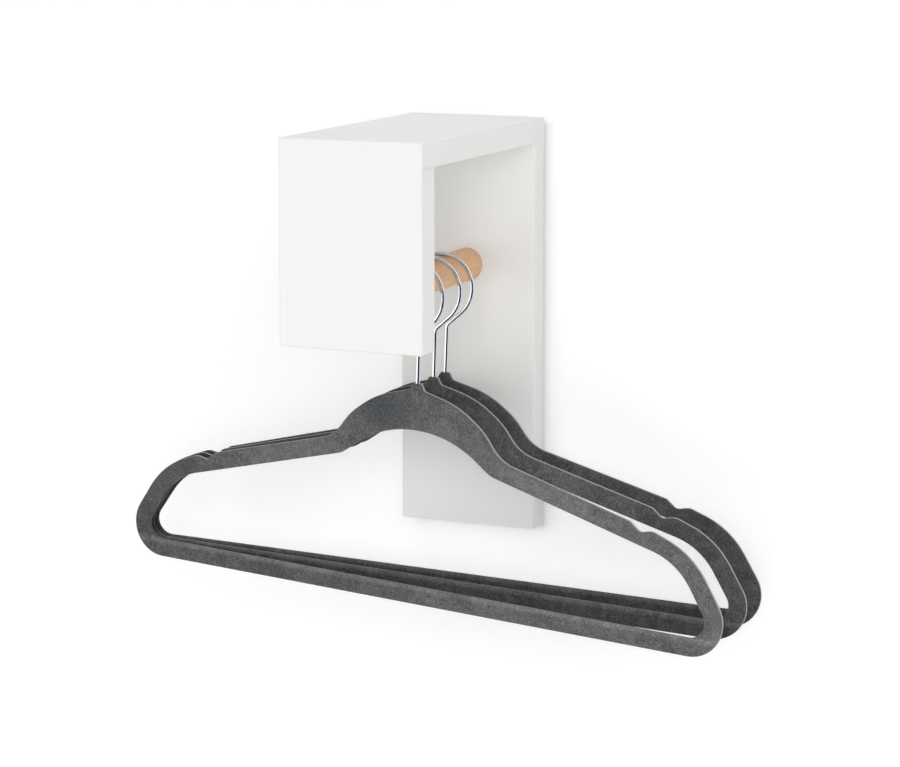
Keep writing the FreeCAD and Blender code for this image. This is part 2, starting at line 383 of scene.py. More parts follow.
def steel_paint():
    """Plated screw: a light, slightly yellow steel with dull patches and a fine grain."""
    paint = Paint("turned_screw_steel", Metallic=1.0)
    places = paint.places()
    base = colour("steel")
    patches = paint.noise(places, 420.0, 3.0)
    fine = paint.noise(places, 5200.0, 2.0)
    tone = paint.mix(patches, toned(base, 0.80), toned(base, 1.12))
    paint.bump(fine, 0.00002)
    return paint.put(Base_Color=tone, Roughness=0.26 + 0.20 * patches)


def velvet_paint(number):
    """Flock: short fibres standing on the moulding.

    Broad smudges where the pile is brushed one way, a fine mottle of single tufts, the
    painted light and shade and the painted cool shade that the mesh carries, and a painted
    highlight along the rims.
    """
    paint = Paint(f"grey_flock_{number}", Sheen_Weight=0.45, Sheen_Roughness=0.35,
                  Sheen_Tint=(0.9, 0.9, 0.9, 1.0), Specular_IOR_Level=0.12)
    places = paint.places()
    # The rear hangers' flock is painted darker, as painted shade
    base = toned(colour("velvet"), PAINTED_HANGER_SHADE[number - 1])
    warm = (base[0] * 1.08, base[1] * 1.05, base[2] * 1.01)
    # Colour of the painted cool shade
    cool = (base[0] * 0.86, base[1] * 0.95, base[2] * 1.06)
    brushed = paint.noise(places, 30.0, 3.0, 0.6, 0.4)
    smudges = paint.noise(places, 130.0, 3.0, 0.6, 0.3)
    mottle = paint.noise(places, 820.0, 3.0, 0.7)
    fibres = paint.noise(places, 2400.0, 2.0, 0.7)
    tone = paint.mix(paint.step(brushed, 0.35, 0.62), toned(base, 0.76), toned(warm, 1.04))
    tone = paint.mix(paint.step(smudges, 0.46, 0.68) * 0.50, tone, toned(warm, 1.50))
    # Painted cool shade left of the neck
    tone = paint.mix(paint.attribute("cool") * 0.8, tone, cool)
    tone = paint.mix(paint.step(mottle, 0.50, 0.68) * 0.58, tone, toned(base, 2.05))
    tone = paint.mix(paint.step(mottle, 0.50, 0.32) * 0.62, tone, toned(base, 0.42))
    # Painted light and shade over each hanger, which the mesh carries
    tone = tone * paint.attribute("pile")
    # Painted highlight along the outer rims, in place of sheen and light from above
    tone = paint.mix(paint.attribute("rim") * 0.9, tone, toned(colour("velvet"), 3.6))
    paint.bump(fibres + mottle * 1.2 + smudges * 0.6, 0.00018)
    return paint.put(Base_Color=tone, Roughness=0.84 + 0.12 * fibres)


# Surfaces


# How many sides the rod, a hook's wire and a screw have, and how many points round a rim's
# quarter circle and steps across a face the hanger's section has
ROD_SIDES, WIRE_SIDES, SCREW_SIDES, RIM_POINTS, FACE_STEPS = 120, 28, 48, 8, 16
# How many rings the rod has, then the hook's bow, straight run, bend and stem, a screw's
# thread, and the tips of a hook and a screw
ROD_RINGS, BOW_RINGS, RUN_RINGS, BEND_RINGS, STEM_RINGS = 25, 121, 4, 21, 23
THREAD_RINGS, TIP_RINGS = 129, 7


def grid_faces(rows, columns, rows_close):
    """Quads of a grid whose columns always close; rows_close joins the last row to the first."""
    row = np.arange(rows if rows_close else rows - 1)[:, None] * columns
    after = (row + columns) % (rows * columns)
    column = np.arange(columns)[None, :]
    beside = (column + 1) % columns
    faces = np.stack((row + column, row + beside, after + beside, after + column), axis=-1)
    return faces.reshape(-1, 4).tolist()


def fan_faces(first, columns, pole, inwards):
    """Triangles from a ring of a grid to its pole point."""
    ring = first + np.arange(columns)
    beside = first + (np.arange(columns) + 1) % columns
    pair = (beside, ring) if inwards else (ring, beside)
    return np.stack((*pair, np.full(columns, pole)), axis=-1).tolist()


def closed_faces(rows, columns):
    """Faces of rings one after another, the first and last each closed by a fan to a pole."""
    faces = grid_faces(rows, columns, False)
    faces += fan_faces(0, columns, rows * columns, True)
    faces += fan_faces((rows - 1) * columns, columns, rows * columns + 1, False)
    return faces


def new_object(name, points, faces, paint):
    """A mesh in metres in the frame, in one material, and its object in the scene."""
    mesh = bpy.data.meshes.new(name)
    mesh.from_pydata(points, [], faces)
    mesh.materials.append(paint)
    made = bpy.data.objects.new(name, mesh)
    bpy.context.scene.collection.objects.link(made)
    return made


def make_piece(name, points, faces, paint, slot, body, nodes, sharp=None, **attributes):
    """Makes a smooth piece of the object, rides it on its body and hides the nodes it replaces.
    """
    piece = new_object(name, points.reshape(-1, 3).tolist(), faces, paint)
    mesh = piece.data
    mesh.validate()
    mesh.shade_smooth()
    for key, values in attributes.items():
        layer = mesh.attributes.new(key, "FLOAT", "POINT")
        layer.data.foreach_set("value", np.ascontiguousarray(values, dtype=np.float32).ravel())
    if sharp is not None:
        mesh.set_sharp_from_angle(angle=sharp)
    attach(piece, body)
    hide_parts(*nodes)


def dress(name, paint):
    """Puts a material on a node's own mesh, which stays as it is."""
    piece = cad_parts[name]
    if not piece.material_slots:
        piece.data.materials.append(paint)
    for slot in piece.material_slots:
        slot.material = paint


def turned(points, angle, axis):
    """Points turned by an angle about the y or z axis through the origin, right-handed."""
    first, second = {"y": (2, 0), "z": (0, 1)}[axis]
    out = np.array(points, dtype=float)
    cos, sin = math.cos(angle), math.sin(angle)
    out[..., first] = points[..., first] * cos - points[..., second] * sin
    out[..., second] = points[..., first] * sin + points[..., second] * cos
    return out


# Where each hanger hangs: metres out from the wall, and its turn in degrees from above
HANGERS = ((0.107, -6.3), (0.081, -1.1), (0.062, 2.3))
# Gap between a hook's bow and the rod, so that they don't cut into each other
BOW_GAP = 0.1 * MM


def hung(points, number):
    """From the hook's own frame, with the bow's centre at its origin, onto the rod."""
    rack, hook, hanger = settings("rack_sizes"), settings("hook_sizes"), settings("hanger_sizes")
    place, turn = HANGERS[number - 1]
    bow_height = rack.rod_height + rack.rod_diameter / 2 + hook.wire / 2 + BOW_GAP
    tilted = turned(points, hanger.tilt, "y")
    return turned(tilted, math.radians(turn), "z") + np.array(
        (0, -place, bow_height - hook.bow_radius))


def revolved(profile, count, centre):
    """Turns a profile of (radius, y) round the Y axis and moves it to a centre.

    A row's point at angle a is (radius * sin a, y, radius * cos a). The first and the last
    row are poles, with a radius of 0.
    """
    radius, along = np.array(profile, dtype=float).T
    angle = np.arange(count) / count * 2 * np.pi
    ring = radius[1:-1, None]
    points = np.stack((ring * np.sin(angle), np.repeat(along[1:-1, None], count, axis=1),
                       ring * np.cos(angle)), axis=-1)
    poles = ((0, along[0], 0), (0, along[-1], 0))
    points = np.concatenate((points.reshape(-1, 3), poles)) + np.asarray(centre)
    return points, closed_faces(len(radius) - 2, count)


# The hanger's outline


def smooth(start, end, value):
    """0 before start and 1 after end, and smooth between them."""
    share = np.clip((value - start) / (end - start), 0, 1)
    return share * share * (3 - 2 * share)


def line_meet(point, way, other, other_way):
    """Where two lines cross, each a point and a direction."""
    matrix = np.array(((way[0], -other_way[0]), (way[1], -other_way[1])))
    share = np.linalg.solve(matrix, np.subtract(other, point))[0]
    return (point[0] + way[0] * share, point[1] + way[1] * share)


def heading(degrees):
    """A direction by its angle up from the right."""
    return (math.cos(math.radians(degrees)), math.sin(math.radians(degrees)))


def inwards(line, distance):
    """A line moved to the right of its own direction, into the hanger."""
    (x, z), (along, up) = line
    return (x + up * distance, z - along * distance), (along, up)


# Outside of the hanger from the knob to the arch's foot, in mm: across from the middle, down
# from the knob's top, and the radius of the corner's arc
NECK_CORNERS = ((3.15, 0.0, 2.0), (5.6, 4.8, 3.0), (31.3, 11.5, 64.0), (50.4, 25.85, 50.0),
                (63.4, 43.4, 28.0))
# The strap notch and the hump outside it, in mm: out from the notch's inner side, up from
# the bar's underside, and the radius of the corner's arc
NOTCH_CORNERS = ((0.0, 80.1, 3.0), (7.0, 74.1, 5.0), (15.6, 76.0, 9.0))
# The notch's inner side, in mm in from the hanger's end
NOTCH_INSET = 66.2
# The slope outside the hump and the slope down to the end, in degrees, then in mm the
# radius of the arc between them and of the end's arc
HUMP_SLOPE, END_SLOPE, HUMP_BEND, END_RADIUS = 20.8, 58.0, 56.0, 22.9
# The opening under the neck, in mm: half its level top, how far it lies below the knob's
# top, the radius of the arch's arc, and how many degrees this turns
ARCH_LEVEL, ARCH_DROP, ARCH_RADIUS, ARCH_TURN = 0.6, 31.5, 76.0, 36.5
# Radius of the opening's arcs at the arch's foot and at the shoulder's end, in mm
FOOT_BEND, SHOULDER_BEND = 18.0, 44.0


def shoulder_line(width, height):
    """From the arch's foot to the strap notch, as a point and a direction."""
    across, drop, _ = NECK_CORNERS[-1]
    foot = (across, height - drop)
    notch = (width / 2 - NOTCH_INSET, NOTCH_CORNERS[0][1])
    length = math.dist(foot, notch)
    return foot, ((notch[0] - foot[0]) / length, (notch[1] - foot[1]) / length)


def end_line(width):
    """The slope down to the hanger's end, from where it touches the end's arc."""
    steep = math.radians(END_SLOPE)
    centre = width / 2 - END_RADIUS
    touch = (centre + END_RADIUS * math.sin(steep), END_RADIUS * (1 + math.cos(steep)))
    return touch, heading(-END_SLOPE)


def outer_corners(width, height):
    """Right half of the outside, from the knob to the end: x, z and arc radius, in mm."""
    notch = width / 2 - NOTCH_INSET
    corners = [(x, height - drop, radius) for x, drop, radius in NECK_CORNERS]
    corners += [(notch + x, z, radius) for x, z, radius in NOTCH_CORNERS]
    hump, end = corners[-1][:2], end_line(width)
    return corners + [
        (*line_meet(hump, heading(-HUMP_SLOPE), *end), HUMP_BEND),
        (*line_meet(*end, (0, 0), (1, 0)), END_RADIUS),
    ]


def inner_corners(width, height, band):
    """Right half of the opening, from under the neck to the end."""
    shoulder = inwards(shoulder_line(width, height), band)
    end = inwards(end_line(width), band)
    top = ARCH_LEVEL + ARCH_RADIUS * math.tan(math.radians(ARCH_TURN / 2))
    apex = (top, height - ARCH_DROP)
    return [
        (*apex, ARCH_RADIUS),
        (*line_meet(apex, heading(-ARCH_TURN), *shoulder), FOOT_BEND),
        (*line_meet(*shoulder, *end), SHOULDER_BEND),
        (*line_meet(*end, (0, band), (1, 0)), END_RADIUS - band),
    ]


def looked_up(at, distance, values, total):
    """Pairs of values of a closed line at other distances along it, even between its own."""
    return np.stack([np.interp(at, distance, values[:, i], period=total) for i in (0, 1)],
                    axis=1)


# How much of a side its two arcs may take, and how near an arc's end, in spacings, a
# straight stretch may get a point
ARC_SHARE, NEAREST = 0.98, 0.35


def rounded_line(right_half, arc_steps, spacing):
    """Closed line through corners and their mirror, each corner rounded by a tangent arc.

    An arc touches both sides at reach = radius / tan(half the corner's angle), or nearer
    where its sides are too short, and its points turn evenly about its centre. Straight
    stretches get a point at every spacing, except near an arc's end. Gives the points'
    distances along the line, its whole length, the points and the outward normals.
    """
    corners = right_half + [(-x, z, r) for x, z, r in reversed(right_half)]
    x, z, radius = np.array(corners).T
    corner = np.stack((x, z), axis=1)
    side = np.roll(corner, -1, axis=0) - corner
    length = np.linalg.norm(side, axis=1)
    after = side / length[:, None]
    before = -np.roll(after, 1, axis=0)
    half = np.arccos(np.sum(after * before, axis=1)) / 2
    wanted = radius / np.tan(half)
    room = length / (wanted + np.roll(wanted, -1))
    reach = wanted * np.minimum(1.0, ARC_SHARE * np.minimum(room, np.roll(room, 1)))
    radius = reach * np.tan(half)
    middle = (after + before) / np.linalg.norm(after + before, axis=1)[:, None]
    centre = corner + middle * (radius / np.sin(half))[:, None]
    start = corner + before * reach[:, None] - centre
    sign = np.sign(-before[:, 0] * after[:, 1] + before[:, 1] * after[:, 0])
    angle = (sign * (np.pi - 2 * half))[:, None] * np.linspace(0, 1, arc_steps)[None]
    cos, sin = np.cos(angle), np.sin(angle)

    def spun(vector):
        return np.stack((vector[:, :1] * cos - vector[:, 1:] * sin,
                         vector[:, :1] * sin + vector[:, 1:] * cos), axis=-1)

    points = (centre[:, None] + spun(start)).reshape(-1, 2)
    ways = spun(-before).reshape(-1, 2)
    gaps = np.linalg.norm(np.roll(points, -1, axis=0) - points, axis=1)
    distance = np.concatenate(([0.0], np.cumsum(gaps)[:-1]))
    total = gaps.sum()
    extra = np.arange(0.0, total, spacing)
    nearest = np.abs(extra[:, None] - np.append(distance, total)[None]).min(axis=1)
    every = np.sort(np.concatenate((distance, extra[nearest > NEAREST * spacing])))
    normals = looked_up(every, distance, np.stack((-ways[:, 1], ways[:, 0]), axis=1), total)
    normals /= np.linalg.norm(normals, axis=1)[:, None]
    return every, total, looked_up(every, distance, points, total), normals


# How many points of the outer and of the inner line are compared, and over how many mm the
# band's cross lines are evened out
OUTER_SAMPLES, INNER_SAMPLES, EVEN_OVER = 1600, 3000, 14.0


def partner_places(outer, inner):
    """For each point of the outer line, the distance along the inner line of its partner.

    The partner is the nearest point of the inner line, its distance evened out by a moving
    mean so that the band's cross lines fan smoothly round the corners.
    """
    outer_at, outer_total, outer_points, _ = outer
    inner_at, inner_total, inner_points, _ = inner
    even = np.linspace(0, outer_total, OUTER_SAMPLES, endpoint=False)
    line = looked_up(even, outer_at, outer_points, outer_total)
    fine = np.linspace(0, inner_total, INNER_SAMPLES, endpoint=False)
    track = looked_up(fine, inner_at, inner_points, inner_total)
    nearest = np.linalg.norm(line[:, None] - track[None], axis=2).argmin(axis=1)
    ahead = np.unwrap(fine[nearest], period=inner_total) - even * inner_total / outer_total
    window = int(round(EVEN_OVER / outer_total * len(even))) | 1
    weights = np.hanning(window + 2)[1:-1]
    weights /= weights.sum()
    padded = np.concatenate((ahead[-window:], ahead, ahead[:window]))
    evened = np.convolve(padded, weights, mode="same")[window:-window]
    shift = np.interp(outer_at, even, evened, period=outer_total)
    return outer_at * inner_total / outer_total + shift


# Hangers, hooks and screws


def painted_flock_light(x, z, number):
    """Painted light and shade on the flock, and its painted cool shade, by the place on the
    hanger in mm.

    Each row is a part of the hanger, as a mask of 0 to 1, and how much lighter or darker
    the flock is painted there on the three hangers, front to rear: painted shade at the ends,
    left of the neck, in a cool patch and on the bars, and painted light on the right arms and
    on the bars' tops.
    """
    # Painted cool shade: a darker, bluer patch left of the neck
    cool = np.exp(-((x + 24) / 24) ** 2 - ((z - 128) / 15) ** 2)
    bar = smooth(16, 11, z)
    above = 1 - bar
    parts = (
        (cool, (-0.34, -0.34, -0.34)),
        (above * smooth(-150, -200, x), (-0.32, -0.32, -0.32)),
        (above * smooth(-10, -60, x), (0.0, -0.26, -0.26)),
        (above * smooth(50, 80, x) * smooth(150, 120, x), (0.18, 0.24, 0.0)),
        (above * smooth(140, 170, x), (0.0, -0.20, -0.20)),
        (bar * (x < 0), (-0.22, -0.36, -0.36)),
        (bar * (x >= 0), (-0.05, -0.36, -0.36)),
        (bar * smooth(8.5, 12.0, z), (0.60, 0.60, 0.60)),
    )
    pile = 1 + sum(mask * change[number - 1] for mask, change in parts)
    return {"cool": cool, "pile": pile}


def hanger_surface(number):
    """The flocked frame as one closed grid: along the band, and round its section.

    At each place along the band the section is a flat bar with rounded rims between the
    outer and the inner line: a rim point lies rim * (1 - sin a) inside its line and
    half - rim + rim * cos a off the middle plane. Round the stem the half thickness grows
    smoothly into a round neck: half' = smooth maximum of half and sqrt(R(z)^2 - x^2), with
    R growing evenly up to the knob's top.
    """
    size, hook = settings("hanger_sizes"), settings("hook_sizes")
    width, height, band = size.width / MM, size.height / MM, size.band / MM
    half, rim = size.thickness / MM / 2, size.rim / MM
    outer = rounded_line(outer_corners(width, height), arc_steps=15, spacing=3.0)
    inner = rounded_line(inner_corners(width, height, band), arc_steps=41, spacing=2.0)
    at = partner_places(outer, inner)
    inner_at, inner_total, inner_points, inner_normals = inner
    outside, outside_way = outer[2:]
    inside = looked_up(at, inner_at, inner_points, inner_total)
    inside_way = -looked_up(at, inner_at, inner_normals, inner_total)
    inside_way /= np.linalg.norm(inside_way, axis=1)[:, None]

    turn = np.linspace(0, np.pi / 2, RIM_POINTS)
    edge_out = np.concatenate((np.sin(turn), np.sin(turn)[::-1]))
    edge_off = np.concatenate((-(half - rim) - rim * np.cos(turn),
                               (half - rim) + rim * np.cos(turn)[::-1]))
    across = np.arange(1, FACE_STEPS) / FACE_STEPS
    none, full = np.zeros(len(across)), np.full(len(across), half)
    share = np.concatenate((0 * edge_out, across, 0 * edge_out + 1, across[::-1]))
    reach_out = np.concatenate((edge_out, none, 0 * edge_out, none))
    reach_in = np.concatenate((0 * edge_out, none, edge_out, none))
    depth = np.concatenate((edge_off, full, -edge_off, -full))

    base_out = outside - outside_way * rim
    base_in = inside - inside_way * rim
    flat = (base_out[:, None] * (1 - share)[None, :, None]
            + base_in[:, None] * share[None, :, None]
            + outside_way[:, None] * (rim * reach_out)[None, :, None]
            + inside_way[:, None] * (rim * reach_in)[None, :, None])
    x, z = flat[..., 0], flat[..., 1]
    swell, swell_length, soft = size.knob / MM / 2 - half, 24.0, 0.9
    drop = height - z
    neck = half + swell * np.clip(1 - drop / swell_length, 0, 1)
    neck = np.where(drop < swell_length, np.sqrt(np.clip(neck ** 2 - x ** 2, 0, None)), 0)
    rest = (half + math.hypot(half, soft)) / 2
    thick = (half + neck + np.sqrt((half - neck) ** 2 + soft ** 2)) / 2 - rest + half
    y = depth[None] * thick / half
    points = np.stack((x + hook.stem_offset / MM, y, z - hook.reach / MM - height), axis=-1)
    # The flock's painted light and shade and painted cool shade, then a painted highlight along
    # the outer rims
    looks = painted_flock_light(x, z, number)
    # Where the painted rim highlight lies: the outermost middle of the outer rim
    looks["rim"] = np.broadcast_to(smooth(0.90, 0.995, reach_out), x.shape)
    return hung(points * MM, number), grid_faces(*x.shape, True), looks


# The hook: the angles round the bow's centre at which its tip lies and the straight run
# leaves, the bend's radius, and the head's place below the knob's top, length and edge
HOOK_TIP, HOOK_LEAVE = math.radians(205), math.radians(-46.9)
BEND_RADIUS, HEAD_DROP, HEAD_LENGTH, HEAD_EDGE = 6 * MM, 8.1 * MM, 1.2 * MM, 0.2 * MM


def hook_surface(number):
    """The bent wire: circles of the wire's radius carried along the hook's middle line.

    The middle line is the bow's arc from its tip over the top, a straight run that leaves it
    as a tangent, a bend and the stem. The radius goes to 0 at the tip as a quarter circle,
    and swells to the head inside the neck.
    """
    hook = settings("hook_sizes")
    wire, bow = hook.wire / 2, hook.bow_radius
    leave = np.array((math.cos(HOOK_LEAVE), math.sin(HOOK_LEAVE)))
    way = np.array((leave[1], -leave[0]))
    reach = BEND_RADIUS * math.tan(-HOOK_LEAVE / 2)
    run = (leave[0] * bow - hook.stem_offset) / -way[0] - reach
    bend_centre = leave * (bow + BEND_RADIUS) + way * run

    def on_stem(heights):
        return np.stack((np.full(len(heights), hook.stem_offset), heights), axis=1)

    angle = np.linspace(HOOK_TIP, HOOK_LEAVE, BOW_RINGS)
    bow_line = bow * np.stack((np.cos(angle), np.sin(angle)), axis=1)
    bow_way = np.stack((np.sin(angle), -np.cos(angle)), axis=1)
    run_line = leave * bow + way * (run * np.linspace(0.2, 0.8, RUN_RINGS))[:, None]
    angle = np.linspace(np.pi + HOOK_LEAVE, np.pi, BEND_RINGS)
    bend_line = bend_centre + BEND_RADIUS * np.stack((np.cos(angle), np.sin(angle)), axis=1)
    bend_way = np.stack((-np.sin(angle), np.cos(angle)), axis=1)
    head_top = -hook.reach - HEAD_DROP
    stem_line = on_stem(np.linspace(bend_line[-1, 1], head_top, STEM_RINGS + 1)[1:])
    head_line = on_stem(head_top - np.array(
        (0, HEAD_EDGE, HEAD_LENGTH - HEAD_EDGE, HEAD_LENGTH)))
    round_off = np.linspace(0, np.pi / 2, TIP_RINGS + 2)[1:-1]
    tip_line = bow_line[0] - bow_way[0] * wire * np.cos(round_off)[:, None]

    line = np.concatenate((tip_line, bow_line, run_line, bend_line, stem_line, head_line))
    ways = np.concatenate((np.tile(bow_way[0], (len(tip_line), 1)), bow_way,
                           np.tile(way, (len(run_line), 1)), bend_way,
                           np.tile((0.0, -1.0), (len(stem_line) + len(head_line), 1))))
    radius = np.full(len(line), wire)
    radius[:len(tip_line)] = wire * np.sin(round_off)
    radius[-len(head_line):] = hook.head / 2 - np.array((HEAD_EDGE, 0, 0, HEAD_EDGE))
    around = np.arange(WIRE_SIDES) / WIRE_SIDES * 2 * np.pi
    off = radius[:, None] * np.cos(around)
    rings = np.stack((line[:, :1] - ways[:, 1:] * off, radius[:, None] * np.sin(around),
                      line[:, 1:] + ways[:, :1] * off), axis=-1)
    tip, end = bow_line[0] - bow_way[0] * wire, head_line[-1]
    poles = ((tip[0], 0, tip[1]), (end[0], 0, end[1]))
    points = np.concatenate((rings.reshape(-1, 3), poles))
    return hung(points, number), closed_faces(len(line), WIRE_SIDES)


# The screws: the thread's pitch, the tip's length, and the recess's radius and depth
THREAD_PITCH, TIP_LENGTH, RECESS_RADIUS, RECESS_DEPTH = 1.8 * MM, 3 * MM, 1.55 * MM, 2 * MM
# As shares: the smooth shank of the thread's radius, the thread's wave of the same, and the
# lobes' wave of the recess's radius
CORE, THREAD_WAVE, LOBE_WAVE = 0.72, 0.16, 0.11


def screw_surface(centre, length):
    """A countersunk screw along the wall's axis: rows from the head's face to the tip.

    Row by row the radius follows the head's cone, the shank and the tip's cone. Along the
    thread it adds a wave, the cosine of the turn angle less a whole turn for each pitch,
    which winds the thread. The head's face sinks inside a six-lobed recess.
    """
    rack = settings("rack_sizes")
    head, shank = rack.screw_head / 2, rack.screw_shank / 2
    core = CORE * shank
    neck = head - core
    smooth_end = neck + 2 * MM
    angle = np.arange(SCREW_SIDES) / SCREW_SIDES * 2 * np.pi
    lobes = RECESS_RADIUS * (1 + LOBE_WAVE * np.cos(6 * angle))
    plain = np.array(((0.75 * head, 0), (0.97 * head, 0), (head, 0.12 * MM),
                      (core, neck), (core, smooth_end)))
    tip = length - TIP_LENGTH
    winding = np.concatenate((np.linspace(smooth_end, tip, THREAD_RINGS + 1)[1:],
                              np.linspace(tip, length, TIP_RINGS + 2)[1:-1]))[:, None]
    wave = np.cos(angle - winding / THREAD_PITCH * 2 * np.pi)
    taper = np.minimum(1, (length - winding) / TIP_LENGTH)
    radius = np.concatenate((np.outer((0.35, 0.97, 1, 1.06), lobes),
                             np.repeat(plain[:, :1], SCREW_SIDES, axis=1),
                             shank * (1 - THREAD_WAVE + THREAD_WAVE * wave) * taper))
    along = np.concatenate(((RECESS_DEPTH, RECESS_DEPTH, 0.15 * MM, 0), plain[:, 1],
                            winding[:, 0]))
    points = np.stack((radius * np.cos(angle),
                       np.repeat(-along[:, None], SCREW_SIDES, axis=1),
                       radius * np.sin(angle)), axis=-1)
    poles = ((0, -RECESS_DEPTH, 0), (0, -length, 0))
    points = np.concatenate((points.reshape(-1, 3), poles)) + np.asarray(centre)
    return points, closed_faces(len(radius), SCREW_SIDES)


# Operators


class COATRACK_OT_boards(bpy.types.Operator):
    """Gives the three boards, kept from the solid model, their white lacquer"""
    bl_idname = "coat_rack.boards"
    bl_label = "Boards"

    def execute(self, context):
        paint = lacquer_paint()
        for name in ("back_board", "top_board", "front_board"):
            dress(name, paint)
        return {"FINISHED"}


class COATRACK_OT_rod(bpy.types.Operator):
    """Turns the beech rod, and gives the two hidden dowels their wood"""
    bl_idname = "coat_rack.rod"
    bl_label = "Rod and dowels"

    def execute(self, context):
        rack = settings("rack_sizes")
        paint = wood_paint("oiled_beech", colour("beech"))
        low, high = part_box("rod")
        radius, edge = rack.rod_diameter / 2, 0.5 * MM
        profile = [(0, low.y), (radius - edge, low.y), (radius, low.y + edge)]
        rings = np.linspace(low.y + 2 * edge, high.y - 2 * edge, ROD_RINGS)
        profile += [(radius, y) for y in rings]
        profile += [(radius, high.y - edge), (radius - edge, high.y), (0, high.y)]
        points, faces = revolved(profile, ROD_SIDES, (0, 0, rack.rod_height))
        make_piece("beech_rod", points, faces, paint, "beech", "rack", ("rod",),
                   sharp=math.radians(35))
        dowels = wood_paint("pale_dowel_beech", toned(colour("beech"), 1.15))
        for name in ("front_dowel_left", "front_dowel_right"):
            dress(name, dowels)
        return {"FINISHED"}


class COATRACK_OT_screws(bpy.types.Operator):
    """Winds the three countersunk screws driven from the rear"""
    bl_idname = "coat_rack.screws"
    bl_label = "Screws"

    def execute(self, context):
        paint = steel_paint()
        for name in ("rod_screw", "shelf_screw_left", "shelf_screw_right"):
            low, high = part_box(name)
            centre = ((low.x + high.x) / 2, high.y, (low.z + high.z) / 2)
            points, faces = screw_surface(centre, high.y - low.y)
            make_piece(name + "_turned", points, faces, paint, "screw_steel", "rack", (name,),
                       sharp=math.radians(40))
        return {"FINISHED"}


class COATRACK_OT_hanger_frames(bpy.types.Operator):
    """Moulds the three flocked hanger frames"""
    bl_idname = "coat_rack.hanger_frames"
    bl_label = "Hanger frames"

    def execute(self, context):
        for number in (1, 2, 3):
            points, faces, looks = hanger_surface(number)
            make_piece(f"velvet_frame_{number}", points, faces, velvet_paint(number),
                       "velvet_grey", f"frame_{number}", (f"hanger_body_{number}",), **looks)
        return {"FINISHED"}


class COATRACK_OT_hooks(bpy.types.Operator):
    """Bends the three plated wire hooks"""
    bl_idname = "coat_rack.hooks"
    bl_label = "Hooks"

    def execute(self, context):
        paint = chrome_paint()
        for number in (1, 2, 3):
            points, faces = hook_surface(number)
            make_piece(f"wire_hook_{number}", points, faces, paint, "hook_chrome",
                       f"hook_{number}", (f"hanger_hook_{number}",), sharp=math.radians(50))
        return {"FINISHED"}


class COATRACK_OT_stage(bpy.types.Operator):
    """Sets up the wall, the floor, the soft lamps and the camera"""
    bl_idname = "coat_rack.stage"
    bl_label = "Studio"

    def execute(self, context):
        studio = settings("studio")
        build_wall(studio)
        build_cards()
        place_lamps(studio)
        light_room(studio)
        place_camera(studio)
        context.scene.view_settings.view_transform = "Standard"
        return {"FINISHED"}


# Stage


# White paint: how light the wall and the floor are to the light that they give back, and
# how light they are and how much they glow where they are seen
WALL_SHADE, FLOOR_SHADE, SEEN_SHADE, SEEN_GLOW = 0.90, 0.86, 0.80, 0.31
# Contact shadow of the rack on the wall: how deep it is, over how many metres it fades, and
# over how many it starts past the board's corners
CONTACT_DEPTH, CONTACT_FADE, CONTACT_START = 0.38, 0.005, 6 * MM
# How far out the floor has turned to plain white, in metres
FLOOR_REACH = 2.2


def one_sided(name, shade, beside=None, reach=None):
    """Matt white paint, not there from behind.

    Where it is seen, it is a little darker and glows a little, so that it is white where
    only the widest shadows fall. Beside a board that stands on it, on the side away from
    the upper left, a contact shadow fades outwards by the exponential of the distance to
    the right of the board plus the distance below it. With a reach, the paint turns to
    plain white outwards, by the square of the distance from the Z axis, so that its far
    edge shows no line.
    """
    paint = Paint(name, Roughness=0.95, Specular_IOR_Level=0.0, Emission_Strength=1.0)
    seen = paint.seen()
    places = paint.places()
    x, y, z = (paint.axis(places, letter) for letter in "XYZ")
    free, far = 1.0, 0.0
    if reach:
        far = ((x * x + y * y) * reach ** -2).clamped(0, 1)
    if beside:
        low, high = beside
        away = (x - high.x).clamped(0, 1) + (low.z - z).clamped(0, 1)
        shadow = math.e ** (away * (-1 / CONTACT_FADE))
        shadow = shadow * paint.step(x, low.x - MM, low.x + CONTACT_START)
        shadow = shadow * paint.step(z, high.z + MM, high.z - CONTACT_START)
        free = 1 - CONTACT_DEPTH * shadow
    seen_shade = free * (1 - far) * SEEN_SHADE
    paint.put(Base_Color=paint.mix(seen, (shade,) * 3, seen_shade),
              Emission_Color=seen * (free * (SEEN_GLOW + far * (1 - SEEN_GLOW))))
    both = paint.node("ShaderNodeMixShader", {}, {
        0: paint.node("ShaderNodeNewGeometry", output="Backfacing"),
        1: Value(paint, paint.shader.outputs[0]),
        2: paint.node("ShaderNodeBsdfTransparent")})
    paint.feed(paint.tree.nodes["Material Output"].inputs["Surface"], both)
    return paint.material


def stage_sheet(name, corners, faces, paint):
    """A flat or bent sheet that isn't part of the object."""
    sheet = new_object(name, corners, faces, paint)
    return sheet


def build_wall(studio):
    """A wall with a hole just inside the back board's edge, and a floor out from it.

    From the front the board covers the hole; from behind it lets light reach the board.
    """
    low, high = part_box("back_board")
    inset, gap, wide, tall, front = 0.4 * MM, 0.2 * MM, 4.0, 3.0, -2.8
    floor = -studio.floor_drop
    xs = (-wide, low.x + inset, high.x - inset, wide)
    zs = (floor, low.z + inset, high.z - inset, tall)
    corners = [(x, gap, z) for z in zs for x in xs]
    faces = [(i + 4 * j, i + 1 + 4 * j, i + 5 + 4 * j, i + 4 + 4 * j)
             for j in range(3) for i in range(3) if (i, j) != (1, 1)]
    stage_sheet("studio_wall", corners, faces,
                one_sided("studio_wall", WALL_SHADE, beside=(low, high)))
    ground = [(-wide, front, floor), (wide, front, floor),
              (wide, gap, floor), (-wide, gap, floor)]
    stage_sheet("studio_floor", ground, [(0, 1, 2, 3)],
                one_sided("studio_floor", FLOOR_SHADE, reach=FLOOR_REACH))


